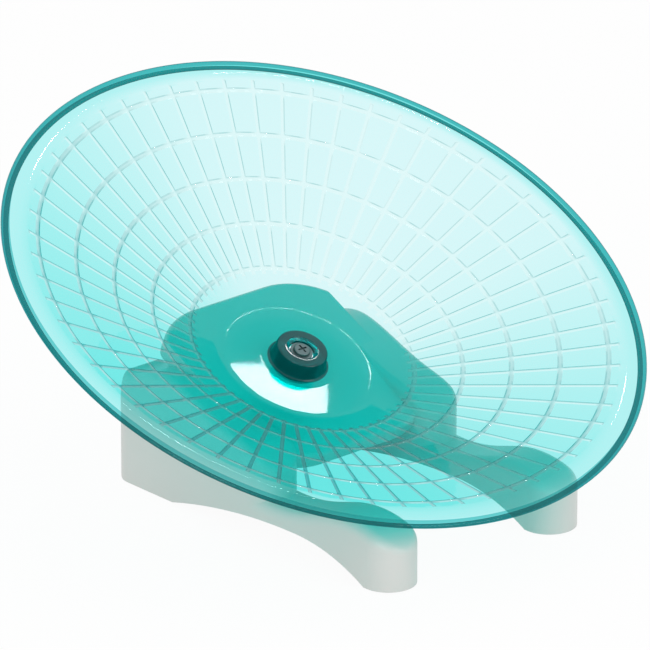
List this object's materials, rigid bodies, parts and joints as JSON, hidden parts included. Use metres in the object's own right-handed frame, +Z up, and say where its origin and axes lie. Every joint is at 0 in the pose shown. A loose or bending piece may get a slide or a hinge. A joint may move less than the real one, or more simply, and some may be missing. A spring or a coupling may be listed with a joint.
{
  "type": "flying saucer hamster wheel",
  "caption": "Tilted transparent running saucer for a small pet, spinning on a ball bearing on a grey two-legged stand.",
  "frame": {"origin": "on the ground, under the centre of the whole object", "axes": "+Z up, +Y towards the high rear side of the saucer, front of the stand towards -Y, +X to the right seen from the front"},
  "size_m": [0.2, 0.1817, 0.1087],
  "materials": {
    "saucer_plastic": "transparent, polished",
    "stand_plastic": "moulded, satin",
    "bearing_steel": "ground",
    "ball_steel": "polished",
    "cage_plastic": "moulded",
    "shield_steel": "pressed sheet",
    "spring_steel": "phosphated",
    "axle_steel": "turned",
    "fastener_steel": "zinc plated",
    "pad_rubber": "matt"
  },
  "bodies": {
    "stand_body": {"stand": "stand_plastic", "axle": "axle_steel", "axle_screw": "fastener_steel", "axle_screw_washer": "fastener_steel", "axle_nut": "fastener_steel", "axle_nut_washer": "fastener_steel", "bearing_inner_race": "bearing_steel", "foot_pad_front_left": "pad_rubber", "foot_pad_front_right": "pad_rubber", "foot_pad_rear_left": "pad_rubber", "foot_pad_rear_right": "pad_rubber"},
    "saucer_body": {"saucer": "saucer_plastic", "bearing_outer_race": "bearing_steel", "bearing_shield_upper": "shield_steel", "bearing_shield_lower": "shield_steel", "bearing_retaining_ring": "spring_steel"},
    "cage_body": {"bearing_cage": "cage_plastic", "bearing_balls": "ball_steel"}
  },
  "joints": [
    {"name": "saucer_spin", "type": "hinge", "parent": "stand_body", "child": "saucer_body", "pos_m": [0, -0.00077, 0.066], "axis": [0, -0.4305, 0.9026], "continuous": true},
    {"name": "cage_spin", "type": "hinge", "parent": "stand_body", "child": "cage_body", "pos_m": [0, -0.00077, 0.066], "axis": [0, -0.4305, 0.9026], "continuous": true}
  ],
  "couplings": [
    {"joint": "cage_spin", "follows": "saucer_spin", "ratio": 0.60556}
  ]
}
